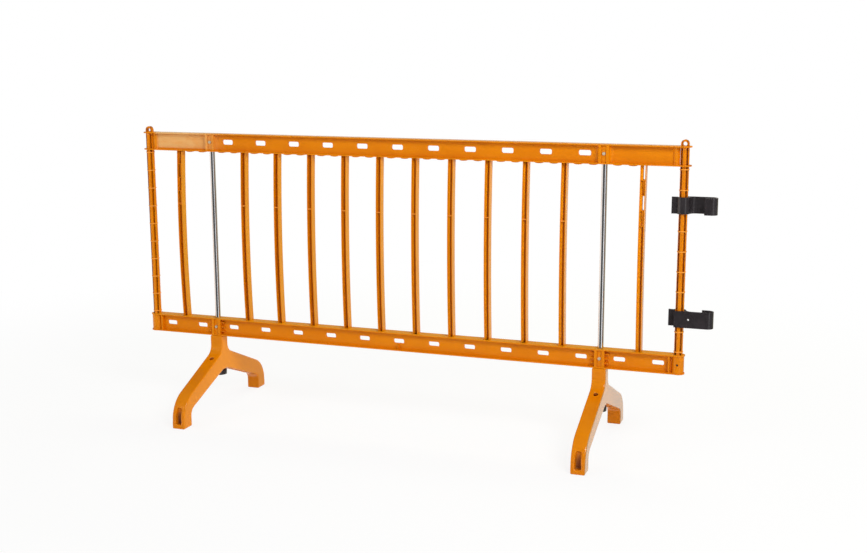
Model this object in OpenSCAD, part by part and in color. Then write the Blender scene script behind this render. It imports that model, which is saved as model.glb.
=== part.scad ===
// Pedestrian barrier panel: two moulded rails joined by bars, end posts and steel tubes,
// standing on two swivelling legs, with two hook clamps that couple it to the next panel.
// Millimetres, +X along the panel, +Y to the back, +Z up, ground at zero.

/* [Panel] */
// Distance between neighbouring uprights
pitch = 130; // [118:1:160]
// Distance between the uprights outside the two tubes
outer_pitch = 128; // [116:1:158]
// Height of the underside of the bottom rail above the ground
ground_gap = 273; // [255:1:320]
// Clear height between the two rails
bar_l = 612; // [440:1:760]

/* [Rails] */
// Height of each rail over its flanges
rail_h = 64; // [56:1:80]
// Depth of the rail flanges, front to back
rail_depth = 40; // [36:1:56]
// Thickness of the rail flanges
flange_t = 4; // [3:0.5:6]
// Thickness of the web between the flanges
web_t = 8; // [7:0.5:12]
// Length of a slot in the top rail
slot_l = 41; // [24:1:56]
// Height of a slot in the top rail
slot_h = 17.5; // [14:0.5:26]
// Height of the top rail's slots above the middle of that rail
slot_rise = 2; // [0:0.5:8]
// Length of a slot in the bottom rail
low_slot_l = 39; // [24:1:56]
// Height of a slot in the bottom rail
low_slot_h = 16; // [14:0.5:26]
// Corner radius of the slots
slot_r = 5.5; // [2:0.5:6.5]
// Distance of the upright rib beside a post's socket from that post
guide_reach = 27; // [26:0.5:34]
// Width of the upright rib in the bottom rail
guide_w = 5; // [3:0.5:8]
// Diameter of the round upright rib in the top rail
guide_d = 20; // [14:1:26]

/* [Scallops under the top rail] */
// Length of one scallop
scallop_l = 30; // [16:1:36]
// Depth of one scallop below the flange
scallop_drop = 3.5; // [1:0.5:6]
// Distance between the two scallops of a cell
scallop_gap = 50; // [38:1:52]
// Sideways shift of the scallop pair from the middle of its cell
scallop_shift = 6; // [-8:1:8]

/* [Bars] */
// Width of a bar, along the panel
bar_w = 19; // [16:0.5:26]
// Depth of a bar, front to back
bar_depth = 26; // [20:1:34]
// Thickness of a bar's two side walls
bar_wall = 3; // [2:0.5:6]
// Thickness of the bar's middle web and of its tenons
bar_web = 3; // [2:0.5:4.5]
// How far the middle of a bar bows to the front
bar_bow = 11; // [2:1:16]
// Length of the tenon at each end of a bar
tenon_l = 16; // [8:1:24]
// Distance of the bridging rib below the top rail
bridge_drop = 192; // [120:1:230]
// Height of one bay in the windowed top of the outer bars
bay_h = 49; // [30:1:56]

/* [End posts] */
// Diameter of an end post over its discs
post_d = 31; // [28:1:38]
// Width of an end post's middle rib
post_core_w = 11; // [8:0.5:12]
// Width of each of the four grooves along an end post
post_groove_w = 5.5; // [4:0.5:6]
// Thickness of the web between the front and the back grooves
post_web = 5; // [3:0.5:8]
// Thickness of an end post's discs
post_rib = 3; // [2:0.5:5]
// How far the discs stand out from the post
disc_lip = 1.5; // [0.2:0.1:2.5]
// Distance of the outermost discs from the rails
disc_end = 10; // [6:0.5:30]
// Wall of the rings and sockets that hold an end post
socket_wall = 4; // [3:0.5:6]
// How far the flanges stand out around an end post's socket
collar_lip = 2.5; // [1:0.5:5]

/* [Lifting eyes] */
// Width of a lifting eye
eye_w = 26.5; // [22:0.5:28]
// Depth of a lifting eye, front to back
eye_depth = 12; // [8:1:20]
// Diameter of the hole in a lifting eye
eye_bore = 13.5; // [8:0.5:14]
// Height of the eye's centre above the top rail
eye_rise = 7; // [7:0.5:14]

/* [Tubes and fasteners] */
// Outside diameter of the steel tubes
tube_d = 20; // [16:1:24]
// Wall thickness of the steel tubes
tube_wall = 2; // [1.5:0.5:3]
// Width of a tube sleeve, along the rail
sleeve_w = 34; // [30:1:42]
// Width of the bolt groove in the front and back of a sleeve
groove_w = 16; // [14:1:20]
// Depth of the bolt groove
groove_depth = 4.5; // [2:0.5:5]
// Diameter of the rail bolts
bolt_d = 6; // [4:1:8]
// Width across the flats of bolt heads and nuts
hex_af = 10; // [8:1:13]
// Height of the bolt heads and nuts
hex_h = 4; // [3:0.5:6]
// Shank diameter of the post screws
screw_d = 4; // [3:0.5:5]
// Head diameter of the post screws
screw_head_d = 7.5; // [6:0.5:9]

/* [Legs] */
// Width of a leg
leg_w = 48; // [40:1:60]
// Reach of a foot from the tube
leg_reach = 308; // [260:1:360]
// Length of a foot on the ground
foot_l = 55; // [40:1:70]
// Length of the hub, across the panel
hub_l = 44; // [36:1:56]
// Drop from the rail to where the arms leave the hub
neck_drop = 60; // [45:1:70]
// Radius of the hollow between hub and arm
neck_r = 39; // [20:1:50]
// Height where the arm's upper side meets the outer face of the foot
knee_z = 92; // [80:1:110]
// Radius of the shoulder above a foot
knee_r = 100; // [40:1:110]
// Height of the arch between the arms
arch_z = 144; // [125:1:160]
// Height where the arch meets the inner face of a foot
spring_z = 56; // [45:1:70]
// Radius between the arch and a foot
spring_r = 32; // [10:1:45]
// Wall thickness around the pockets under the arms
leg_wall = 5; // [4:0.5:8]
// Diameter of the hole in the top of an arm
arm_hole_d = 15; // [6:1:18]
// Width of the grip recess in a foot at its lower edge
grip_w = 21; // [12:1:30]
// Width of the grip recess at its upper edge
grip_top_w = 17; // [8:1:26]
// Height of the grip recess in a foot
grip_h = 58; // [30:1:64]
// Depth of the grip recess at its lower edge
grip_depth = 20; // [8:1:24]

/* [Tube caps] */
// Diameter of a tube cap's knob
cap_d = 50; // [40:1:56]
// Diameter of a tube cap's neck, which bears against the leg
neck_d = 28; // [26:1:34]
// Height of a tube cap
cap_h = 20; // [18:1:30]
// Thickness of a cap's floor
cap_floor = 4; // [3:0.5:6]
// Diameter of the cross pin in a cap
pin_d = 4; // [3:0.5:5]

/* [Clamps] */
// Height of a clamp
clamp_h = 54; // [40:1:70]
// Wall thickness of a clamp
clamp_wall = 5; // [4:0.5:6.5]
// Distance from this panel's post to the next panel's post
hook_reach = 87.5; // [82:0.5:96]
// Length of the guide lip, from the post's axis
lip_l = 36.5; // [30:0.5:46]
// Angle of the guide lip
lip_angle = 5; // [0:1:15]
// How far round the post the guide lip leaves the jaw, from the post's outer side
lip_turn = 12; // [5:1:40]
// How far the hook runs on past half a turn
hook_tail = 17; // [6:1:20]
// Radius of the hollow between the jaw and the plate
jaw_fillet_r = 20; // [16:1:22]
// Diameter of the hole through the lower clamp's plate
clamp_hole_d = 6.5; // [4:0.5:8]
// Distance of that hole from the post's axis
clamp_hole_reach = 30; // [26:0.5:36]
// Distance of the upper clamp's middle below the top rail
upper_clamp_drop = 124; // [80:1:200]
// Distance of the lower clamp's middle above the bottom rail
lower_clamp_rise = 121; // [80:1:200]

/* [Clearances] */
// Running clearance of turning fits, on the radius
run_gap = 0.05; // [0.02:0.01:0.1]
// Clearance of plugged and bolted joints, on each side
plug_gap = 0.1; // [0.05:0.05:0.3]
// Gap between pieces that turn against each other
seat_gap = 0.3; // [0.2:0.1:0.6]
// Clearance around the next panel's post in a hook, on the radius
hook_gap = 0.3; // [0.1:0.1:0.8]

/* [Hidden] */
$fn = 64;
cells = 15;
bar_count = 12;
tube_stations = [2, 13];
post_stations = [0, 15];
bar_stations = [1, 3, 4, 5, 6, 7, 8, 9, 10, 11, 12, 14];
top_slot_cells = [2:12];
scalloped_cells = [1:13];
eps = 0.01;

orange = [0.86, 0.50, 0.09];
steel = [0.72, 0.73, 0.75];
black = [0.16, 0.15, 0.16];

// Heights of the two rails
bottom_z = ground_gap;
bottom_top_z = bottom_z + rail_h;
top_z = bottom_top_z + bar_l;
top_top_z = top_z + rail_h;
bottom_bolt_z = bottom_z + rail_h / 2;
top_bolt_z = top_z + rail_h / 2 + slot_rise;

// Sockets for the end posts
post_hole_d = post_d + 2 * plug_gap;
socket_d = post_hole_d + 2 * socket_wall;
collar_d = socket_d + 2 * collar_lip;
post_r = post_d / 2 - disc_lip;
post_z = bottom_z + flange_t;
disc_count = 10;
disc_step = (bar_l - 2 * disc_end) / (disc_count - 1);

// Clamp radii, measured from the posts' axes
ring_r = post_d / 2 + run_gap;
ring_out_r = ring_r + clamp_wall;
hook_r = post_d / 2 + hook_gap;
hook_out_r = hook_r + clamp_wall;
jaw_relief = 0.5;
arc_skip = 1;
upper_clamp_z = top_z - upper_clamp_drop;
lower_clamp_z = bottom_top_z + lower_clamp_rise;

// The panel is shifted so that its box, with the clamps, is centred on the origin
left_reach = collar_d / 2;
right_reach = hook_reach + hook_out_r;
panel_x = (left_reach - right_reach) / 2;
function inner(i) = min(max(i, tube_stations[0]), tube_stations[1]);
function station(i) = panel_x + (inner(i) - cells / 2) * pitch + (i - inner(i)) * outer_pitch;
function cell_middle(c) = (station(c) + station(c + 1)) / 2;
rail_l = station(cells) - station(0);

// The left post's screw enters from the back, so the panel is the same turned end for end
function post_turn(i) = i == post_stations[0] ? 180 : 0;

// A bar follows an arc that bows to the front by bar_bow at mid height
bar_mid_z = bottom_top_z + bar_l / 2;
bow_r = (bar_l * bar_l / 4 + bar_bow * bar_bow) / (2 * bar_bow);
bow_steps = 1440;
bow_spare = 1;
function bow_y(z) = bow_r - bar_bow - sqrt(bow_r * bow_r - (z - bar_mid_z) * (z - bar_mid_z));
channel_w = bar_w - 2 * bar_wall;
tenon_shoulder = 1;
tenon_w = bar_w - 2 * tenon_shoulder;
bar_rib = 3;
bar_bite = 1;
window_inset = 0.5;
rib_inset = 3;
plate_setback = 4;
window_bays = 4;

// Tube, sleeve and fastener fits
tube_hole_d = tube_d + 2 * plug_gap;
hub_hole_d = tube_d + 2 * run_gap;
bolt_hole_d = bolt_d + 2 * plug_gap;
sleeve_setback = 0.5;
sleeve_depth = rail_depth - 2 * sleeve_setback;
groove_floor = sleeve_depth / 2 - groove_depth;
flare_r = (sleeve_depth - web_t) / 2;
cap_top_z = arch_z - seat_gap;
cap_z = cap_top_z - cap_h;
tube_z = cap_z + cap_floor;
pin_z = tube_z + (cap_top_z - tube_z) / 2;
pin_inset = 1;
screw_z = bottom_bolt_z;
screw_hole_d = screw_d + 2 * plug_gap;
screw_recess = 2;
screw_bite = 7;
thread_end = 1;

// Small ribs of the rails
rail_rib = 3;
rib_setback = 2;
sleeve_rib_l = 14;
sleeve_rib_setback = 6;
scallop_setback = 3;
centre_cell = 7;

// Leg heights
land_margin = 2;
pocket_inset = 14;
pocket_end = 40;
pocket_count = 3;
pocket_open = 10;
arm_hole_out = 38;
arm_hole_depth = 3 * leg_wall;
grip_z = 15;
knob_gap = 1.5;
hub_top_z = ground_gap - seat_gap;
neck_z = ground_gap - neck_drop;
cap_land = neck_d + 2 * land_margin;
arch_end = leg_reach - foot_l;
arc_steps = 20;
slot_steps = 5;
scallop_steps = 10;
clamp_steps = 48;

function unit(v) = v / norm(v);
function angle_of(v) = atan2(v[1], v[0]);

// One rounded corner of an outline: b is the corner, a and c its neighbours
function corner(a, b, c, r, n) =
    let (
        u = unit(a - b),
        v = unit(c - b),
        half = acos(u * v) / 2,
        centre = b + unit(u + v) * r / sin(half),
        from = b + u * r / tan(half) - centre,
        to = b + v * r / tan(half) - centre,
        start = angle_of(from),
        swing = (angle_of(to) - start + 540) % 360 - 180
    )
    [for (i = [0:n]) centre + r * [cos(start + swing * i / n), sin(start + swing * i / n)]];

// Outline through corners given as [x, y, radius]
function rounded(points, steps) =
    let (n = len(points))
    [
        for (i = [0:n - 1])
            let (
                before = points[(i + n - 1) % n],
                here = points[i],
                after = points[(i + 1) % n]
            )
            each here[2] > 0
                ? corner([before[0], before[1]], [here[0], here[1]], [after[0], after[1]], here[2], steps)
                : [[here[0], here[1]]]
    ];

function bar_name(k) = str("bar_", k < 10 ? "0" : "", k);

// Extrudes an outline drawn in X and Z towards the back, centred on the panel's middle plane
module across_depth(depth) {
    translate([0, depth / 2, 0])
        rotate([90, 0, 0])
            linear_extrude(depth)
                children();
}

// Straight cylinder along Y from y0 to y1
module along_y(d, y0, y1) {
    translate([0, y1, 0])
        rotate([90, 0, 0])
            cylinder(d = d, h = y1 - y0);
}

// Rounded slot through a rail's web
module rail_slot(c, z, l, h) {
    translate([cell_middle(c), 0, z])
        across_depth(2 * web_t)
            polygon(rounded([
                [-l / 2, -h / 2, slot_r],
                [l / 2, -h / 2, slot_r],
                [l / 2, h / 2, slot_r],
                [-l / 2, h / 2, slot_r]
            ], slot_steps));
}

// Flange of a rail with a round collar at each end
module rail_flange(z) {
    translate([station(0), -rail_depth / 2, z])
        cube([rail_l, rail_depth, flange_t]);
    for (i = post_stations)
        translate([station(i), 0, z])
            cylinder(d = collar_d, h = flange_t);
}

module rail_web(z) {
    translate([station(0), -web_t / 2, z])
        cube([rail_l, web_t, rail_h]);
}

// Block around a tube, grooved front and back for the bolt
module tube_sleeve(z) {
    translate([0, 0, z])
        difference() {
            translate([-sleeve_w / 2, -sleeve_depth / 2, 0])
                cube([sleeve_w, sleeve_depth, rail_h]);
            for (side = [-1, 1])
                translate([-groove_w / 2, side * (groove_floor + groove_depth) - groove_depth, -eps])
                    cube([groove_w, 2 * groove_depth, rail_h + 2 * eps]);
        }
}

// Hollow corner between a sleeve's face and the web
module sleeve_flare(z) {
    for (end = [-1, 1], side = [-1, 1])
        translate([end * sleeve_w / 2, side * web_t / 2, z])
            linear_extrude(rail_h)
                polygon([
                    [0, 0],
                    for (i = [0:arc_steps])
                        let (a = 90 * i / arc_steps)
                            [end * flare_r * (1 - cos(a)), side * flare_r * (1 - sin(a))]
                ]);
}

// Short level ribs that stiffen a sleeve on both sides
module sleeve_ribs(z) {
    reach = sleeve_w / 2 + sleeve_rib_l;
    depth = sleeve_depth - 2 * sleeve_rib_setback;
    for (share = [0.25, 0.5, 0.75])
        translate([-reach, -depth / 2, z + share * rail_h - rail_rib / 2])
            cube([2 * reach, depth, rail_rib]);
}

// Places a child beside an end post's socket, on the panel's side
module beside_post(i, z) {
    inward = i == 0 ? 1 : -1;
    translate([station(i) + inward * guide_reach, 0, z])
        children();
}

// Flat upright rib beside an end post's socket in the bottom rail
module guide_rib(i) {
    beside_post(i, bottom_z)
        translate([-guide_w / 2, rib_setback - rail_depth / 2, 0])
            cube([guide_w, rail_depth - 2 * rib_setback, rail_h]);
}

// Round upright rib beside an end post in the top rail
module round_guide(i) {
    beside_post(i, top_z)
        cylinder(d = guide_d, h = rail_h);
}

// Short upright rib under the bottom rail's middle slot
module centre_rib() {
    translate([cell_middle(centre_cell) - rail_rib / 2, sleeve_rib_setback - rail_depth / 2, bottom_z])
        cube([rail_rib, rail_depth - 2 * sleeve_rib_setback, (rail_h - low_slot_h) / 2 - rib_setback]);
}

// Tube and bolt holes of one rail
module rail_drillings(bolt_z, tube_from, tube_to) {
    for (i = tube_stations)
        translate([station(i), 0, 0]) {
            translate([0, 0, tube_from])
                cylinder(d = tube_hole_d, h = tube_to - tube_from);
            translate([0, 0, bolt_z])
                along_y(bolt_hole_d, -rail_depth, rail_depth);
        }
}

// Mortises that take the bars' tenons
module mortises(z0, z1) {
    for (i = bar_stations)
        translate([station(i) - tenon_w / 2 - plug_gap, -bar_web / 2 - plug_gap, z0])
            cube([tenon_w + 2 * plug_gap, bar_web + 2 * plug_gap, z1 - z0]);
}

// Shallow scallops that hang below the top rail's lower flange
module scallops() {
    for (c = scalloped_cells, side = [-1, 1])
        translate([cell_middle(c) + scallop_shift + side * scallop_gap / 2, 0, top_z])
            across_depth(rail_depth - 2 * scallop_setback)
                polygon([
                    for (i = [0:scallop_steps])
                        let (a = 180 * i / scallop_steps)
                            [-scallop_l / 2 * cos(a), -scallop_drop * sin(a)]
                ]);
}

module top_rail() {
    color(orange)
        difference() {
            union() {
                rail_web(top_z);
                rail_flange(top_z);
                rail_flange(top_top_z - flange_t);
                scallops();
                for (i = tube_stations)
                    translate([station(i), 0, 0]) {
                        tube_sleeve(top_z);
                        sleeve_flare(top_z);
                    }
                for (i = post_stations)
                    round_guide(i);
            }
            for (c = top_slot_cells)
                rail_slot(c, top_bolt_z, slot_l, slot_h);
            rail_drillings(top_bolt_z, top_z - eps, top_top_z - flange_t);
            mortises(top_z - eps, top_z + tenon_l + plug_gap);
            for (i = post_stations)
                translate([station(i), 0, top_z - eps])
                    cylinder(d = post_hole_d, h = rail_h + 2 * eps);
        }
}

module bottom_rail() {
    color(orange)
        difference() {
            union() {
                rail_web(bottom_z);
                rail_flange(bottom_z);
                rail_flange(bottom_top_z - flange_t);
                for (i = tube_stations)
                    translate([station(i), 0, 0]) {
                        tube_sleeve(bottom_z);
                        sleeve_ribs(bottom_z);
                    }
                for (i = post_stations) {
                    translate([station(i), 0, bottom_z])
                        cylinder(d = socket_d, h = rail_h);
                    guide_rib(i);
                }
                centre_rib();
            }
            for (c = [0:cells - 1])
                rail_slot(c, bottom_bolt_z, low_slot_l, low_slot_h);
            rail_drillings(bottom_bolt_z, bottom_z - eps, bottom_top_z + eps);
            mortises(bottom_top_z - tenon_l - plug_gap, bottom_top_z + eps);
            for (i = post_stations)
                translate([station(i), 0, 0]) {
                    translate([0, 0, bottom_z + flange_t])
                        cylinder(d = post_hole_d, h = rail_h);
                    translate([0, 0, screw_z])
                        rotate([0, 0, post_turn(i)])
                            along_y(screw_head_d + 2 * plug_gap, -collar_d, 0);
                }
        }
}

// Four grooves along an end post, two in the front and two in the back
module post_grooves() {
    for (side = [-1, 1], face = [-1, 1])
        translate([
            side * (post_core_w + post_groove_w) / 2 - post_groove_w / 2,
            face * (post_web + post_d) / 2 - post_d / 2,
            post_z - eps
        ])
            cube([post_groove_w, post_d, top_top_z - post_z + 2 * eps]);
}

// Discs that close the grooves of an end post between the rails and where the rails hold it
module post_discs() {
    for (k = [0:disc_count - 1])
        translate([0, 0, bottom_top_z + disc_end + k * disc_step - post_rib / 2])
            cylinder(d = post_d, h = post_rib);
    for (z = [post_z, bottom_top_z - flange_t, top_z, top_top_z - flange_t])
        translate([0, 0, z])
            cylinder(d = post_d, h = flange_t);
}

module end_post(i) {
    color(orange)
        translate([station(i), 0, 0])
            difference() {
                union() {
                    difference() {
                        translate([0, 0, post_z])
                            cylinder(r = post_r, h = top_top_z - post_z);
                        post_grooves();
                    }
                    post_discs();
                    translate([0, 0, top_top_z])
                        lifting_eye();
                }
                translate([0, 0, screw_z])
                    rotate([0, 0, post_turn(i)])
                        along_y(screw_hole_d, -post_d, 0);
            }
}

// Arched lug with a cross hole, standing on the rail's top flange
module lifting_eye() {
    difference() {
        union() {
            translate([-eye_w / 2, -eye_depth / 2, 0])
                cube([eye_w, eye_depth, eye_rise]);
            translate([0, 0, eye_rise])
                along_y(eye_w, -eye_depth / 2, eye_depth / 2);
        }
        translate([0, 0, eye_rise])
            along_y(eye_bore, -eye_depth, eye_depth);
    }
}

module left_end_post() {
    end_post(post_stations[0]);
}

module right_end_post() {
    end_post(post_stations[1]);
}

// H-shaped cross-section of a bar, depth along X and width along Y
module bar_section() {
    d = bar_depth / 2;
    w = bar_w / 2;
    c = channel_w / 2;
    t = bar_web / 2;
    polygon([
        [-d, -w], [d, -w], [d, -c], [t, -c], [t, c], [d, c],
        [d, w], [-d, w], [-d, c], [-t, c], [-t, -c], [-d, -c]
    ]);
}

// Bowed length of bar section, cut square at both rails
module bar_length() {
    sweep = 2 * asin(bar_l / 2 / bow_r) + bow_spare;
    intersection() {
        translate([0, bow_r - bar_bow, bar_mid_z])
            rotate([-90, 0, -90])
                rotate([0, 0, -sweep / 2])
                    rotate_extrude(angle = sweep, $fn = bow_steps)
                        translate([bow_r, 0])
                            bar_section();
        translate([-bar_w, -bar_bow - bar_depth, bottom_top_z])
            cube([2 * bar_w, 2 * (bar_bow + bar_depth), bar_l]);
    }
}

// Cross rib that closes a bar's channel at a given height
module bar_bridge(z) {
    reach = bar_depth / 2 - rib_inset;
    translate([-channel_w / 2 - bar_bite, bow_y(z) - reach, z])
        cube([channel_w + 2 * bar_bite, 2 * reach, bar_rib]);
}

// Through windows in every other bay of an outer bar's upper part, in one half of its channel
module bar_windows() {
    for (k = [1:2:window_bays])
        translate([0, -bar_bow - bar_depth, top_z - k * bay_h + bar_rib])
            cube([channel_w / 2 - window_inset, 2 * (bar_bow + bar_depth), bay_h - bar_rib]);
}

// Plates that close one half of the channel's front in each bay, left and right by turns
module bar_front_plates() {
    half = channel_w / 2 + bar_bite;
    for (k = [1:window_bays])
        let (z = top_z - k * bay_h)
            translate([k % 2 == 0 ? 0 : -half, bow_y(z + bay_h) - bar_depth / 2 + plate_setback, z])
                cube([half, bar_rib, bay_h]);
}

// Level ribs that part the bays
module bar_bay_ribs() {
    for (k = [1:window_bays])
        bar_bridge(top_z - k * bay_h);
}

module bar(k) {
    outer = k == 1 || k == bar_count;
    color(orange)
        translate([station(bar_stations[k - 1]), 0, 0]) {
            difference() {
                union() {
                    bar_length();
                    if (outer) {
                        bar_front_plates();
                        bar_bay_ribs();
                    } else
                        bar_bridge(top_z - bridge_drop);
                }
                if (outer)
                    bar_windows();
            }
            for (z = [bottom_top_z - tenon_l, top_z])
                translate([-tenon_w / 2, -bar_web / 2, z])
                    cube([tenon_w, bar_web, tenon_l]);
        }
}

module tube(i) {
    color(steel)
        translate([station(i), 0, 0])
            difference() {
                translate([0, 0, tube_z])
                    cylinder(d = tube_d, h = top_top_z - flange_t - tube_z);
                translate([0, 0, tube_z - eps])
                    cylinder(d = tube_d - 2 * tube_wall, h = top_top_z);
                for (z = [bottom_bolt_z, top_bolt_z])
                    translate([0, 0, z])
                        along_y(bolt_hole_d, -tube_d, tube_d);
                translate([0, 0, pin_z])
                    rotate([0, 0, 90])
                        along_y(pin_d + 2 * plug_gap, -tube_d, tube_d);
            }
}

module left_tube() {
    tube(tube_stations[0]);
}

module right_tube() {
    tube(tube_stations[1]);
}

// Places a child at each of the four bolted sleeves
module at_bolts() {
    for (i = tube_stations, z = [bottom_bolt_z, top_bolt_z])
        translate([station(i), 0, z])
            children();
}

// Hexagon prism along Y from y0 to y1
module hexagon(y0, y1) {
    translate([0, y1, 0])
        rotate([90, 0, 0])
            cylinder(d = hex_af / cos(30), h = y1 - y0, $fn = 6);
}

module rail_bolts() {
    color(steel)
        at_bolts() {
            hexagon(-groove_floor - hex_h, -groove_floor);
            along_y(bolt_d, -groove_floor - eps, groove_floor + hex_h + thread_end);
        }
}

module rail_nuts() {
    color(steel)
        at_bolts()
            difference() {
                hexagon(groove_floor, groove_floor + hex_h);
                along_y(bolt_d + 2 * plug_gap, 0, 2 * rail_depth);
            }
}

module post_screws() {
    head_y = -socket_d / 2 + screw_recess;
    seat_y = -post_r;
    color(steel)
        for (i = post_stations)
            translate([station(i), 0, screw_z])
                rotate([0, 0, post_turn(i)]) {
                    along_y(screw_head_d, head_y, seat_y - plug_gap);
                    along_y(screw_d, seat_y - plug_gap - eps, seat_y + screw_bite);
                }
}

// Heights of the arm's upper and lower side at a distance y from the tube
function arm_top(y) = neck_z + (y - hub_l / 2) * (knee_z - neck_z) / (leg_reach - hub_l / 2);
function arm_under(y) = arch_z + (y - cap_land / 2) * (spring_z - arch_z) / (arch_end - cap_land / 2);

// One side of the leg's outline, from the hub's top edge round to the arch
leg_side = [
    [hub_l / 2, hub_top_z, 0],
    [hub_l / 2, neck_z, neck_r],
    [leg_reach, knee_z, knee_r],
    [leg_reach, 0, 0],
    [arch_end, 0, 0],
    [arch_end, spring_z, spring_r],
    [cap_land / 2, arch_z, 0]
];
leg_outline = rounded(concat(
    leg_side,
    [for (i = [len(leg_side) - 1:-1:0]) [-leg_side[i][0], leg_side[i][1], leg_side[i][2]]]
), arc_steps);

// Extrudes an outline drawn in Y and Z along X, centred
module across_width(w) {
    translate([-w / 2, 0, 0])
        rotate([90, 0, 90])
            linear_extrude(w)
                children();
}

// Open pockets under one arm, parted by ribs
module arm_pockets() {
    pocket_from = cap_land / 2 + pocket_inset;
    pocket_to = arch_end - pocket_end;
    step = (pocket_to - pocket_from) / pocket_count;
    for (k = [0:pocket_count - 1])
        let (y0 = pocket_from + k * step, y1 = y0 + step - leg_wall)
            across_width(leg_w - 2 * leg_wall)
                polygon([
                    [y0, arm_under(y0) - pocket_open],
                    [y1, arm_under(y1) - pocket_open],
                    [y1, arm_top(y1) - 2 * leg_wall],
                    [y0, arm_top(y0) - 2 * leg_wall]
                ]);
}

// Tapered recess in the outer face of a foot, shallower where the shoulder falls back
module grip_recess() {
    translate([0, leg_reach, 0])
        across_depth(2 * grip_depth)
            polygon([
                [-grip_w / 2, grip_z],
                [grip_w / 2, grip_z],
                [grip_top_w / 2, grip_z + grip_h],
                [-grip_top_w / 2, grip_z + grip_h]
            ]);
}

module leg(i) {
    hole_y = hub_l / 2 + arm_hole_out;
    color(orange)
        translate([station(i), 0, 0])
            difference() {
                across_width(leg_w)
                    polygon(leg_outline);
                translate([0, 0, arch_z - eps])
                    cylinder(d = hub_hole_d, h = ground_gap);
                for (turn = [0, 180])
                    rotate([0, 0, turn]) {
                        arm_pockets();
                        grip_recess();
                        translate([0, hole_y, arm_top(hole_y) - arm_hole_depth])
                            cylinder(d = arm_hole_d, h = neck_drop);
                    }
            }
}

module left_leg() {
    leg(tube_stations[0]);
}

module right_leg() {
    leg(tube_stations[1]);
}

// Knob on the tube's lower end, with a neck that bears against the leg
module tube_cap(i) {
    knob_top_z = arm_under(cap_d / 2) - knob_gap;
    color(black)
        translate([station(i), 0, 0])
            difference() {
                union() {
                    translate([0, 0, cap_z])
                        cylinder(d = cap_d, h = knob_top_z - cap_z);
                    translate([0, 0, cap_z])
                        cylinder(d = neck_d, h = cap_h);
                }
                translate([0, 0, tube_z])
                    cylinder(d = tube_hole_d, h = cap_h);
                translate([0, 0, pin_z])
                    rotate([0, 0, 90])
                        along_y(pin_d + 2 * plug_gap, -cap_d, cap_d);
            }
}

module left_tube_cap() {
    tube_cap(tube_stations[0]);
}

module right_tube_cap() {
    tube_cap(tube_stations[1]);
}

module cap_pins() {
    color(steel)
        for (i = tube_stations)
            translate([station(i), 0, pin_z])
                rotate([0, 0, 90])
                    along_y(pin_d, pin_inset - neck_d / 2, neck_d / 2 - pin_inset);
}

// Where a line along the unit vector way leaves a circle round the origin
function leaves_circle(point, way, r) =
    point + way * (sqrt((point * way) * (point * way) - point * point + r * r) - point * way);

// Points of an arc from one angle to another
function arc(centre, r, from, to, steps) =
    [
        for (i = [0:steps])
            let (a = from + (to - from) * i / steps)
                centre + r * [cos(a), sin(a)]
    ];

// Guide lip of a clamp: its root on the jaw, its direction, half its thickness and its end
lip_from = -(ring_r + clamp_wall / 2) * [cos(lip_turn), sin(lip_turn)];
lip_way = [-cos(lip_angle), -sin(lip_angle)];
lip_half = [-lip_way[1], lip_way[0]] * clamp_wall / 2;
lip_end = lip_from + lip_way * (lip_l + lip_from[0]);
lip_outside = leaves_circle(lip_from + lip_half, lip_way, ring_out_r);

// Centre of the hollow that leads from the plate into the jaw
fillet_y = ring_r - jaw_fillet_r;
fillet_x = sqrt((ring_out_r + jaw_fillet_r) * (ring_out_r + jaw_fillet_r) - fillet_y * fillet_y);
fillet = [fillet_x, fillet_y];

// Outline of a clamp before its two posts are bored out: plate, hook, tail, jaw and lip
plate_y = ring_r + jaw_relief;
tail_y = hook_r - hook_gap;
clamp_outline = concat(
    [[-ring_r, plate_y + clamp_wall]],
    arc([hook_reach, 0], hook_out_r, 90, -90, clamp_steps),
    [[hook_reach - hook_tail, -hook_out_r]],
    [[hook_reach - hook_tail - clamp_wall / 2, -(hook_out_r + tail_y) / 2]],
    [[hook_reach - hook_tail, -tail_y]],
    [[hook_reach, -tail_y], [hook_reach, ring_r]],
    arc(fillet, jaw_fillet_r, 90, angle_of(-fillet), arc_steps),
    arc([0, 0], ring_out_r, angle_of(fillet) - arc_skip, angle_of(lip_outside), clamp_steps),
    [lip_end + lip_half, lip_end - lip_half, lip_from - lip_half - lip_way * clamp_wall],
    [[0, 0], [0, plate_y], [-ring_r, plate_y]]
);

// Hook clamp around a post at the origin, its plate behind the post and its hook curling to the front
module clamp(drilled) {
    color(black)
        difference() {
            translate([0, 0, -clamp_h / 2])
                linear_extrude(clamp_h)
                    polygon(clamp_outline);
            cylinder(r = ring_r, h = 2 * clamp_h, center = true);
            translate([hook_reach, 0, 0])
                cylinder(r = hook_r, h = 2 * clamp_h, center = true);
            if (drilled)
                translate([clamp_hole_reach, 0, 0])
                    along_y(clamp_hole_d, 0, 2 * ring_out_r);
        }
}

module upper_clamp() {
    translate([station(post_stations[1]), 0, upper_clamp_z])
        clamp(false);
}

module lower_clamp() {
    translate([station(post_stations[1]), 0, lower_clamp_z])
        rotate([180, 0, 0])
            clamp(true);
}

top_rail();
bottom_rail();
left_end_post();
right_end_post();
for (k = [1:bar_count]) bar(k);
left_tube();
right_tube();
rail_bolts();
rail_nuts();
post_screws();
left_leg();
right_leg();
left_tube_cap();
right_tube_cap();
cap_pins();
upper_clamp();
lower_clamp();
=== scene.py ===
import bpy
import math
from mathutils import Matrix, Vector

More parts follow.
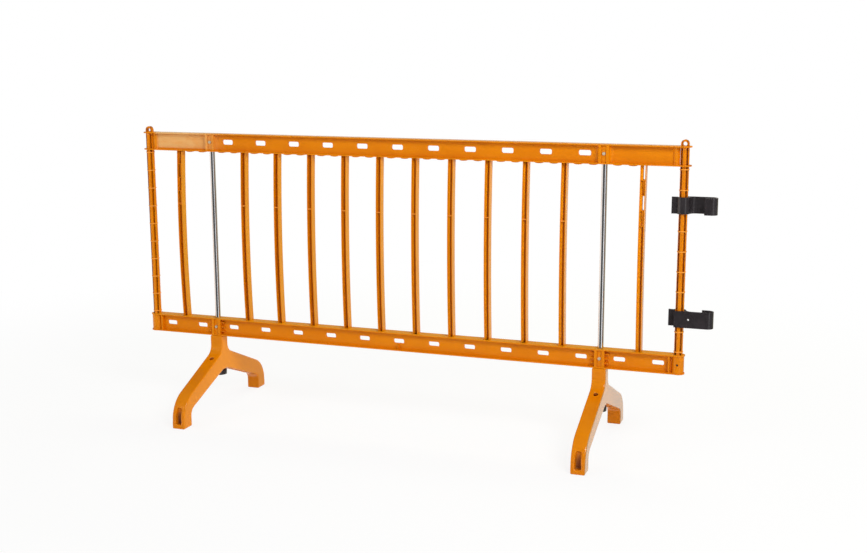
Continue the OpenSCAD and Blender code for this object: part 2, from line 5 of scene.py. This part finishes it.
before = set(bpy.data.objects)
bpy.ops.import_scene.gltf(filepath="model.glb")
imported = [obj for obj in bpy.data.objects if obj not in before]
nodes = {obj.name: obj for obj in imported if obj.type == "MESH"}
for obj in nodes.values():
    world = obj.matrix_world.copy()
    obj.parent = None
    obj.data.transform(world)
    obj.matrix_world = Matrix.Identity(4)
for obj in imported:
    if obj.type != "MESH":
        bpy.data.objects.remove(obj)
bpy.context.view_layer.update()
scene = bpy.context.scene
scene.view_settings.view_transform = "Standard"
print("frame loaded,", len(nodes), "pieces")


class Wire:  # one shader socket, so that sums can be written as sums
    def __init__(self, paint, socket):
        self.paint = paint
        self.socket = socket

    def __add__(self, other):
        return self.paint.sum("ADD", self, other)

    def __radd__(self, other):
        return self.paint.sum("ADD", other, self)

    def __sub__(self, other):
        return self.paint.sum("SUBTRACT", self, other)

    def __rsub__(self, other):
        return self.paint.sum("SUBTRACT", other, self)

    def __mul__(self, other):
        return self.paint.sum("MULTIPLY", self, other)

    def __rmul__(self, other):
        return self.paint.sum("MULTIPLY", other, self)

    def __truediv__(self, other):
        return self.paint.sum("DIVIDE", self, other)

    def __rtruediv__(self, other):
        return self.paint.sum("DIVIDE", other, self)


class Paint:  # a node tree being filled in
    def __init__(self, tree):
        self.tree = tree
        tree.nodes.clear()

    def node(self, kind, sockets=None, out=0, **settings):
        made = self.tree.nodes.new("ShaderNode" + kind)
        for name, value in settings.items():
            setattr(made, name, value)
        for name, value in (sockets or {}).items():
            if isinstance(value, Wire):
                self.tree.links.new(value.socket, made.inputs[name])
            else:
                made.inputs[name].default_value = value
        return Wire(self, made.outputs[out]) if made.outputs else None

    def sum(self, operation, a, b=0.0):
        return self.node("Math", {0: a, 1: b}, operation=operation)

    def blend(self, factor, a, b):  # 6, 7 and 2 are the Mix node's sockets for colours
        return self.node("Mix", {0: factor, 6: a, 7: b}, out=2, data_type="RGBA")

    def mix(self, factor, a, b):  # two shaders
        return self.node("MixShader", {0: factor, 1: a, 2: b})

    def ramp(self, value, low, high):  # 0 below low, 1 above high, soft between
        return self.node("MapRange", {"Value": value, "From Min": low, "From Max": high},
                         interpolation_type="SMOOTHSTEP")

    def fall(self, value, low, high):  # 1 below low, 0 above high
        return 1.0 - self.ramp(value, low, high)

    def coat(self, sockets):  # ends the tree with a Principled shader
        self.node("OutputMaterial", {"Surface": self.node("BsdfPrincipled", sockets)})


def newPaint(name):
    material = bpy.data.materials.new(name)
    material.use_nodes = True
    return material, Paint(material.node_tree)


def colour(red, green, blue):  # written as it looks on screen, 0 to 255, and made linear by the sRGB rule
    def flat(v):
        v = v / 255
        return v / 12.92 if v <= 0.04045 else ((v + 0.055) / 1.055) ** 2.4
    return (flat(red), flat(green), flat(blue), 1.0)


def noise(paint, place, scale, detail, rough=0.5):
    return paint.node("TexNoise", {"Vector": place, "Scale": scale, "Detail": detail, "Roughness": rough})


def stretched(paint, place, size):  # the same place with each axis scaled
    return paint.node("Mapping", {"Vector": place, "Scale": size})


def swing(value, amount):  # a noise, which lies round 0.5, as a change to either side
    return (value - 0.5) * amount


def beside(paint, value, rhythm):  # distance from the nearest of a row of evenly spaced places
    return paint.sum("PINGPONG", (value - rhythm["first"]) / rhythm["step"], 0.5) * rhythm["step"]


# painted light: the pale yellow of the rail tops and the bars' outer sides, where the light falls
litLook = {"colour": colour(234, 160, 14), "topTone": 0.8, "sideTone": 0.6}


def paintedLitTop(paint, at, tone, height):  # painted light: the top of a rail, drawn lighter and yellower where the light falls on it
    return paint.blend(paint.ramp(at["up"], *height) * litLook["topTone"], tone, litLook["colour"])


# painted glare, pale and mottled, on the left end of the top rail
glareLook = {
    "colour": colour(240, 190, 122), "leastTone": 0.58, "mottleTone": 0.28,
    "mottle": (26.0, 4.0, 0.6), "mottleStretch": (1.0, 1.0, 1.6), "mottleSpan": (0.3, 0.6),
}


def paintedGlare(paint, at, tone, cell):  # painted glare: the end of a rail drawn pale and mottled, where the light glances off it
    look = glareLook
    mottle = noise(paint, stretched(paint, at["place"], look["mottleStretch"]), *look["mottle"])
    amount = look["leastTone"] + paint.ramp(mottle, *look["mottleSpan"]) * look["mottleTone"]
    glaring = paint.ramp(at["along"], *cell["from"]) * paint.fall(at["along"], *cell["to"])
    glaring = glaring * paint.ramp(at["up"], *cell["low"])
    return paint.blend(glaring * amount, tone, look["colour"])


# painted shade, darker in channels and grooves; the lit colour paints the lit part of a channel
shadeLook = {
    "colour": colour(146, 66, 2), "litColour": colour(255, 174, 14),
    "leastTone": 0.5, "cloudTone": 0.3,
}


def paintedShade(paint, at, tone, shading):  # painted shade in the channel of a bar or the grooves of a post or sleeve
    look = shadeLook
    across = beside(paint, at["along"], shading)
    drifted = beside(paint, at["along"], {"first": shading["first"], "step": shading["step"] * shading["drift"]})
    bend = (at["up"] - shading["middle"]) / shading["half"]
    inside = paint.sum("ABSOLUTE", at["deep"] + (1.0 - bend * bend) * shading["bow"])
    channel = paint.fall(inside, *shading["deep"])
    if "litSide" in shading:  # painted light: a bar's outer sides drawn pale yellow, and the lit part of its channel drawn bright
        lit = paint.ramp(across, *shading["litSide"]) * litLook["sideTone"]
        tone = paint.blend(lit, tone, litLook["colour"])
        litChannel = paint.ramp(drifted, *shading["outer"]) * paint.fall(across, *shading["wall"])
        litChannel = litChannel * channel * paint.ramp(at["along"], *shading["lit"])
        tone = paint.blend(litChannel, tone, look["litColour"])
    shaded = paint.ramp(drifted, *shading["inner"]) * paint.fall(drifted, *shading["outer"]) * channel
    amount = look["leastTone"] + at["cloud"] * look["cloudTone"]
    return paint.blend(shaded * amount, tone, look["colour"])


# painted highlight, pale, on raised rims
rimHighlightLook = {"colour": colour(255, 170, 66), "tone": 0.8, "soft": 0.0006}


def paintedRimHighlights(paint, at, tone, rims, rhythm):  # painted highlight on the discs of a post or the bridge of a bar
    look = rimHighlightLook
    off = beside(paint, at["up"], rims)
    across = beside(paint, at["along"], rhythm)
    highlighted = paint.fall(off, rims["half"], rims["half"] + look["soft"]) * paint.fall(across, *rims["width"])
    return paint.blend(highlighted * look["tone"], tone, look["colour"])


# painted light on the legs' sides, painted pale glare on the right leg's sides, painted shade in the arm
# holes and grips
legLightLook = {
    "sideColour": colour(255, 153, 2), "sideGlareColour": colour(182, 135, 69), "holeShadeColour": colour(80, 30, 3),
    "sideTone": 0.7, "gripTone": 0.7, "holeRough": 0.6,
}


def paintedLegLight(paint, at, tone, leg):  # painted light on a leg's sides, painted pale glare on the right leg's sides, painted shade in its holes and grips
    look = legLightLook
    across = beside(paint, at["along"], leg)
    out = paint.sum("ABSOLUTE", at["deep"])
    side = paint.blend(paint.ramp(at["along"], *leg["sideGlare"]), look["sideColour"], look["sideGlareColour"])
    tone = paint.blend(paint.ramp(across, *leg["side"]) * look["sideTone"], tone, side)
    off = out - leg["holeOut"]
    hole = paint.fall(across * across + off * off, *leg["holeSquare"])
    hole = hole * paint.ramp(at["up"], *leg["holeHeight"])
    grip = paint.fall(across, *leg["gripWidth"]) * paint.fall(out, *leg["gripOut"])
    grip = grip * paint.ramp(out, *leg["gripIn"])
    grip = grip * paint.ramp(at["up"], *leg["gripFrom"]) * paint.fall(at["up"], *leg["gripTo"])
    dark = paint.sum("MAXIMUM", hole, grip * look["gripTone"])
    return paint.blend(dark, tone, look["holeShadeColour"]), dark * look["holeRough"]


# orange moulded plastic; a noise is written as scale, detail and roughness, its span as where it shows
orangeLook = {
    "colour": colour(233, 138, 3), "deepColour": colour(225, 128, 2), "paleColour": colour(240, 152, 14),
    "cloud": (7.0, 3.0), "streak": (9.0, 4.0, 0.6), "streakShare": 0.4, "toneSpan": (0.36, 0.64),
    "speck": (420.0, 2.0), "speckSpan": (0.62, 0.8), "speckTone": 0.10,
    "scratch": (14.0, 3.0), "scratchSpan": (0.66, 0.72), "scratchStretch": 9, "scratchTone": 0.30,
    "patch": (11.0, 2.0), "patchSpan": (0.5, 0.66), "pore": (1500.0, 2.0), "peel": (160.0, 2.0),
    "streakRough": 0.14, "speckRough": 0.08, "scratchRough": 0.16,
    "bumpDepth": 0.0006, "poreHeight": 0.35, "peelHeight": 0.65, "scratchHeight": 0.3,
}


def orangePlastic(name, flow, finish, litTop=None, glareAt=None, shading=None, rims=None, leg=None):
    look = orangeLook
    material, paint = newPaint(name)
    place = paint.node("TexCoord", out="Object")
    along, deep, up = [paint.node("SeparateXYZ", {0: place}, out=axis) for axis in "XYZ"]
    cloud = noise(paint, place, *look["cloud"])
    at = {"place": place, "along": along, "deep": deep, "up": up, "cloud": cloud}
    streak = noise(paint, stretched(paint, place, flow), *look["streak"])
    speck = noise(paint, place, *look["speck"])
    thin = [size * look["scratchStretch"] for size in flow]
    scratch = noise(paint, stretched(paint, place, thin), *look["scratch"])
    scratch = paint.ramp(scratch, *look["scratchSpan"])
    scratch = scratch * paint.ramp(noise(paint, place, *look["patch"]), *look["patchSpan"])
    cloudy = cloud * (1.0 - look["streakShare"]) + streak * look["streakShare"]
    tone = paint.blend(paint.ramp(cloudy, *look["toneSpan"]), look["deepColour"], look["colour"])
    tone = paint.blend(paint.ramp(speck, *look["speckSpan"]) * look["speckTone"], tone, look["paleColour"])
    tone = paint.blend(scratch * look["scratchTone"], tone, look["paleColour"])
    rough = finish["roughness"] + swing(streak, look["streakRough"]) + swing(speck, look["speckRough"])
    rough = rough + scratch * look["scratchRough"]
    # painted light, glare, shade and highlights are laid over the plastic's own tone here
    if litTop:
        tone = paintedLitTop(paint, at, tone, litTop)
    if glareAt:
        tone = paintedGlare(paint, at, tone, glareAt)
    if shading:
        tone = paintedShade(paint, at, tone, shading)
    if rims:
        tone = paintedRimHighlights(paint, at, tone, rims, shading)
    if leg:
        tone, duller = paintedLegLight(paint, at, tone, leg)
        rough = rough + duller
    skin = noise(paint, place, *look["pore"]) * look["poreHeight"]
    skin = skin + noise(paint, place, *look["peel"]) * look["peelHeight"] - scratch * look["scratchHeight"]
    bump = paint.node("Bump", {"Strength": finish["grain"], "Distance": look["bumpDepth"], "Height": skin})
    paint.coat({"Base Color": tone, "Roughness": rough, "Normal": bump,
                "Specular IOR Level": finish["specular"]})
    return material


steelLook = {  # the two bright uprights
    "colour": colour(226, 227, 229), "deepColour": colour(186, 187, 190), "roughness": 0.12,
    "drawn": (900.0, 4.0, 0.6), "drawnStretch": (1.0, 1.0, 0.012), "drawnRough": 0.10,
    "stain": (30.0, 4.0, 0.6), "stainStretch": (1.0, 1.0, 0.3), "stainSpan": (0.42, 0.75),
    "stainTone": 0.5, "stainRough": 0.08, "grain": 0.12, "bumpDepth": 0.0002,
}


def brightSteel(name):
    look = steelLook
    material, paint = newPaint(name)
    place = paint.node("TexCoord", out="Object")
    drawn = noise(paint, stretched(paint, place, look["drawnStretch"]), *look["drawn"])
    stain = noise(paint, stretched(paint, place, look["stainStretch"]), *look["stain"])
    stained = paint.ramp(stain, *look["stainSpan"]) * look["stainTone"]
    tone = paint.blend(stained, look["colour"], look["deepColour"])
    rough = look["roughness"] + swing(drawn, look["drawnRough"]) + swing(stain, look["stainRough"])
    bump = paint.node("Bump", {"Strength": look["grain"], "Distance": look["bumpDepth"], "Height": drawn})
    paint.coat({"Base Color": tone, "Metallic": 1.0, "Roughness": rough, "Normal": bump})
    return material


zincLook = {  # bolts, nuts and pins
    "colour": colour(222, 206, 176), "deepColour": colour(184, 170, 144), "roughness": 0.46, "metal": 0.20,
    "bloom": (260.0, 4.0, 0.65), "bloomSpan": (0.35, 0.7), "bloomRough": 0.3,
    "grain": 0.2, "bumpDepth": 0.0002,
}


def zincSteel(name):
    look = zincLook
    material, paint = newPaint(name)
    place = paint.node("TexCoord", out="Object")
    bloom = noise(paint, place, *look["bloom"])
    tone = paint.blend(paint.ramp(bloom, *look["bloomSpan"]), look["colour"], look["deepColour"])
    rough = look["roughness"] + swing(bloom, look["bloomRough"])
    bump = paint.node("Bump", {"Strength": look["grain"], "Distance": look["bumpDepth"], "Height": bloom})
    paint.coat({"Base Color": tone, "Metallic": look["metal"], "Roughness": rough, "Normal": bump})
    return material


blackLook = {  # clamps, tube caps and post screws
    "colour": colour(45, 41, 43), "paleColour": colour(66, 60, 64), "roughness": 0.20,
    "cloud": (24.0, 3.0), "cloudSpan": (0.4, 0.8), "cloudTone": 0.35, "cloudRough": 0.16,
    "rub": (3.0, 4.0), "rubStretch": (60.0, 60.0, 8.0), "rubSpan": (0.6, 0.72),
    "rubTone": 0.25, "rubRough": 0.06,
    "pore": (900.0, 3.0), "poreRough": 0.14, "grain": 0.08, "bumpDepth": 0.0004,
}


def blackPlastic(name):
    look = blackLook
    material, paint = newPaint(name)
    place = paint.node("TexCoord", out="Object")
    pore = noise(paint, place, *look["pore"])
    cloud = noise(paint, place, *look["cloud"])
    rub = noise(paint, stretched(paint, place, look["rubStretch"]), *look["rub"])
    rub = paint.ramp(rub, *look["rubSpan"])
    cloudy = paint.ramp(cloud, *look["cloudSpan"]) * look["cloudTone"]
    tone = paint.blend(cloudy, look["colour"], look["paleColour"])
    tone = paint.blend(rub * look["rubTone"], tone, look["paleColour"])
    rough = look["roughness"] + swing(cloud, look["cloudRough"]) + swing(pore, look["poreRough"])
    rough = rough - rub * look["rubRough"]
    bump = paint.node("Bump", {"Strength": look["grain"], "Distance": look["bumpDepth"], "Height": pore})
    paint.coat({"Base Color": tone, "Roughness": rough, "Normal": bump})
    return material


def middle(name):  # a piece's middle along the panel
    places = [corner[0] for corner in nodes[name].bound_box]
    return (min(places) + max(places)) / 2


def row(first, second):  # the rhythm of two like pieces along the panel
    return {"first": middle(first), "step": middle(second) - middle(first)}


moulded = {"roughness": 0.25, "specular": 0.22, "grain": 0.10}
blown = {"roughness": 0.16, "specular": 0.60, "grain": 0.05}
alongFlow, upFlow, legFlow = (0.3, 3.0, 3.0), (3.0, 3.0, 0.3), (3.0, 3.0, 0.35)  # small: streaks run that way

# where the marks lie, in metres: along the panel, across a piece, in its depth and above the ground
straight = {"bow": 0.0, "middle": 0.643, "half": 0.306, "drift": 1.0}
bowed = {"bow": 0.011, "middle": 0.643, "half": 0.306, "drift": 1.0027}
# the painted shade of the sleeve grooves, bar channels and post grooves, and the painted light on the bars'
# sides
sleeveGroove = {"inner": (0.0054, 0.0062), "outer": (0.0079, 0.0083), "deep": (0.0140, 0.0155), **straight}
barChannel = {"inner": (-0.002, -0.001), "outer": (0.0045, 0.0066), "deep": (0.0040, 0.0120), **bowed,
              "wall": (0.0066, 0.0072), "lit": (-0.6, 0.3), "litSide": (0.0088, 0.0092)}
postGroove = {"inner": (0.0052, 0.0058), "outer": (0.0107, 0.0113), "deep": (0.0085, 0.0125), **straight}
# the rims that carry the painted highlight
barBridge = {"first": 0.7585, "step": 5.0, "half": 0.0017, "width": (0.0064, 0.0068)}  # one, so a far step
postDiscs = {"first": 0.347, "step": 0.06578, "half": 0.0015, "width": (0.02, 0.03)}
# where the painted glare lies on the top rail
glareCell = {"from": (-0.984, -0.974), "to": (-0.85, -0.69), "low": (0.954, 0.961)}
# the heights of the rail tops that carry the painted light
lowTop, highTop = (0.3364, 0.3368), (1.0124, 1.0128)
# the places of the legs' painted light, glare and shade
legPlaces = {"side": (0.0215, 0.0236), "sideGlare": (-0.1, 0.1), "holeOut": 0.060, "holeHeight": (0.160, 0.165),
             "holeSquare": (0.000046, 0.000066),  # a radius squared
             "gripWidth": (0.0080, 0.0105), "gripIn": (0.280, 0.284), "gripOut": (0.296, 0.3065),
             "gripFrom": (0.013, 0.018), "gripTo": (0.030, 0.078)}

sleeves = {**row("left_tube", "right_tube"), **sleeveGroove}
bars = {**row("bar_02", "bar_03"), **barChannel}
outerBars = {**row("bar_01", "bar_12"), **barChannel}
posts = {**row("left_end_post", "right_end_post"), **postGroove}
legs = {**row("left_leg", "right_leg"), **legPlaces}
railPlastic = orangePlastic("rail orange", alongFlow, moulded, litTop=lowTop, shading=sleeves)
glarePlastic = orangePlastic("rail orange painted glare", alongFlow, moulded, litTop=highTop, glareAt=glareCell,
                             shading=sleeves)
barPlastic = orangePlastic("bar orange", upFlow, moulded, shading=bars, rims=barBridge)
outerPlastic = orangePlastic("outer bar orange", upFlow, moulded, shading=outerBars, rims=barBridge)
postPlastic = orangePlastic("post orange", upFlow, moulded, shading=posts, rims=postDiscs)
legPlastic = orangePlastic("leg orange", legFlow, blown, leg=legs)
tubeSteel = brightSteel("bright steel")
boltSteel = zincSteel("zinc steel")
clampPlastic = blackPlastic("clamp black")
print("materials made")


def dress(obj, material):
    obj.data.materials.clear()
    obj.data.materials.append(material)


def weld(obj, reach=0.00001):  # joins the corners of the loose triangles
    join = obj.modifiers.new("weld", "WELD")
    join.merge_threshold = reach


edgeLook = {
    "rail": 0.0009, "bar": 0.0008, "post": 0.0006, "clamp": 0.0011, "hex": 0.0005, "cap": 0.0012,  # widths
    "segments": 2, "flatTo": 0.5, "sharpFrom": 38,  # the last two in degrees
}


def soften(obj, kind):  # rounds a moulding's edges, live, over the untouched mesh
    weld(obj)
    flat = obj.modifiers.new("flat", "DECIMATE")
    flat.decimate_type = "DISSOLVE"
    flat.angle_limit = math.radians(edgeLook["flatTo"])
    edge = obj.modifiers.new("edge", "BEVEL")
    edge.width = edgeLook[kind]
    edge.segments = edgeLook["segments"]
    edge.limit_method = "ANGLE"
    edge.angle_limit = math.radians(edgeLook["sharpFrom"])
    edge.use_clamp_overlap = True
    edge.harden_normals = True


legMould = {"voxel": 0.0022, "factor": 0.5, "rounds": 20}


def mould(obj):  # a blown moulding's full round edges, live, over the untouched mesh
    weld(obj)
    skin = obj.modifiers.new("skin", "REMESH")
    skin.mode = "VOXEL"
    skin.voxel_size = legMould["voxel"]
    skin.use_smooth_shade = True
    calm = obj.modifiers.new("calm", "SMOOTH")
    calm.factor = legMould["factor"]
    calm.iterations = legMould["rounds"]


for name, piece in nodes.items():
    if name.endswith("_rail"):
        dress(piece, glarePlastic if name == "top_rail" else railPlastic)
        soften(piece, "rail")
    elif name.startswith("bar_"):
        dress(piece, outerPlastic if name in ("bar_01", "bar_12") else barPlastic)
        soften(piece, "bar")
    elif name.endswith("_post"):
        dress(piece, postPlastic)
        soften(piece, "post")
    elif name.endswith("_leg"):
        dress(piece, legPlastic)
        mould(piece)
    elif name.endswith("_tube"):
        dress(piece, tubeSteel)
    elif name.endswith("_clamp"):
        dress(piece, clampPlastic)
        soften(piece, "clamp")
    elif name.endswith("_cap"):
        dress(piece, clampPlastic)
        soften(piece, "cap")
    elif name == "post_screws":
        dress(piece, clampPlastic)
    else:
        dress(piece, boltSteel)
        soften(piece, "hex")
print("pieces dressed")


# the floor is pale near the panel, where it keeps the shadow, and plain white further out
floorLook = {"colour": colour(252, 252, 252), "size": 60.0, "glow": 0.86, "near": 1.3, "far": 3.2}


def makeFloor():
    look = floorLook
    bpy.ops.object.select_all(action="DESELECT")  # the loaded nodes come selected
    bpy.ops.mesh.primitive_plane_add(size=look["size"], location=(0, 0, 0))
    floor = bpy.context.object
    floor.name = "floor"
    material, paint = newPaint("floor white")
    place = paint.node("TexCoord", out="Object")
    away = paint.node("VectorMath", {0: place}, out="Value", operation="LENGTH")
    glow = look["glow"] + paint.ramp(away, look["near"], look["far"]) * (1.0 - look["glow"])
    diffuse = paint.node("BsdfDiffuse", {"Color": look["colour"]})
    white = paint.node("Emission", {"Color": (1.0, 1.0, 1.0, 1.0), "Strength": 1.0})
    seen = paint.node("LightPath", out="Is Camera Ray")
    paint.node("OutputMaterial", {"Surface": paint.mix(seen * glow, diffuse, white)})
    floor.data.materials.append(material)
    floor.visible_glossy = False  # gloss and metal mirror the studio of the world instead


lamps = {
    "key": {"place": (3.2, -3.0, 3.6), "aim": (0.0, 0.0, 0.5), "size": (1.8, 1.8),
            "power": 145, "colour": (1.0, 1.0, 1.0), "mirrored": True},
    "fill": {"place": (-3.6, -3.8, 2.4), "aim": (-0.2, 0.0, 0.5), "size": (2.5, 2.5),
             "power": 58, "colour": (1.0, 1.0, 1.0), "mirrored": False},
    "back": {"place": (0.5, 3.6, 3.4), "aim": (0.0, 0.0, 0.5), "size": (4.0, 1.5),
             "power": 90, "colour": (1.0, 1.0, 0.75), "mirrored": False},
}


def makeLamps():
    for name, lamp in lamps.items():
        data = bpy.data.lights.new(name, "AREA")
        data.shape = "RECTANGLE"
        data.size, data.size_y = lamp["size"]
        data.energy = lamp["power"]
        data.color = lamp["colour"]
        obj = bpy.data.objects.new(name, data)
        scene.collection.objects.link(obj)
        obj.location = lamp["place"]
        obj.visible_glossy = lamp["mirrored"]
        obj.rotation_euler = (Vector(lamp["aim"]) - obj.location).to_track_quat("-Z", "Y").to_euler()


# the studio as it is mirrored: white behind and on the left, dark in front, grey with a bright strip on the
# right and warm beyond it; the turns are compass angles in degrees, from the front towards +X
worldLook = {
    "soft": 0.34, "white": 1.2, "dark": 0.10, "grey": 0.22, "strip": 1.7, "warm": 0.65, "ceiling": 0.07,
    "seen": 1.0, "plainColour": (1.0, 1.0, 1.0, 1.0), "whiteColour": (1.0, 0.94, 0.88, 1.0),
    "warmColour": (1.0, 0.93, 0.55, 1.0), "ceilingRise": (0.05, 0.20),
    "leftTurn": (-52, -42), "greyTurn": (24, 36), "stripTurn": (39, 44), "stripEnd": (50, 55),
    "warmTurn": (115, 145), "backTurn": (150, 170),
}


def makeWorld():
    look = worldLook
    world = bpy.data.worlds.new("studio")
    scene.world = world
    world.use_nodes = True
    paint = Paint(world.node_tree)
    way = paint.node("TexCoord", out="Generated")
    right, back, rise = [paint.node("SeparateXYZ", {0: way}, out=axis) for axis in "XYZ"]
    angle = paint.sum("ARCTAN2", right, back * -1.0)

    def turn(name):  # 0 to 1 between two compass angles
        start, end = look[name]
        return paint.ramp(angle, math.radians(start), math.radians(end))

    def glow(name, tint="plainColour"):
        return paint.node("Background", {"Color": look[tint], "Strength": look[name]})

    mirrored = paint.mix(turn("greyTurn"), glow("dark"), glow("grey"))
    mirrored = paint.mix(turn("stripTurn") - turn("stripEnd"), mirrored, glow("strip"))
    mirrored = paint.mix(turn("warmTurn"), mirrored, glow("warm", "warmColour"))
    mirrored = paint.mix(1.0 - turn("leftTurn") + turn("backTurn"), mirrored, glow("white", "whiteColour"))
    mirrored = paint.mix(paint.ramp(rise, *look["ceilingRise"]), mirrored, glow("ceiling"))
    both = paint.mix(paint.node("LightPath", out="Is Glossy Ray"), glow("soft"), mirrored)
    both = paint.mix(paint.node("LightPath", out="Is Camera Ray"), both, glow("seen"))
    paint.node("OutputWorld", {"Surface": both})


# the photograph's camera, found from the rows of rail slots; angles in degrees
cameraLook = {"place": (1.5159, -4.0076, 1.3632), "lens": 52.366, "sensor": 36.0, "clipEnd": 100.0,
              "turn": 19.647, "dip": 10.916, "roll": -0.171}


def makeCamera():
    look = cameraLook
    data = bpy.data.cameras.new("camera")
    data.lens = look["lens"]
    data.sensor_width = look["sensor"]
    data.clip_end = look["clipEnd"]
    obj = bpy.data.objects.new("camera", data)
    scene.collection.objects.link(obj)
    obj.location = look["place"]
    turn = Matrix.Rotation(math.radians(look["turn"]), 3, "Z")
    tilt = Matrix.Rotation(math.radians(90 - look["dip"]), 3, "X")
    roll = Matrix.Rotation(math.radians(look["roll"]), 3, "Z")
    obj.rotation_euler = (turn @ tilt @ roll).to_euler()
    scene.camera = obj


makeFloor()
makeLamps()
makeWorld()
makeCamera()
print("studio and camera set")
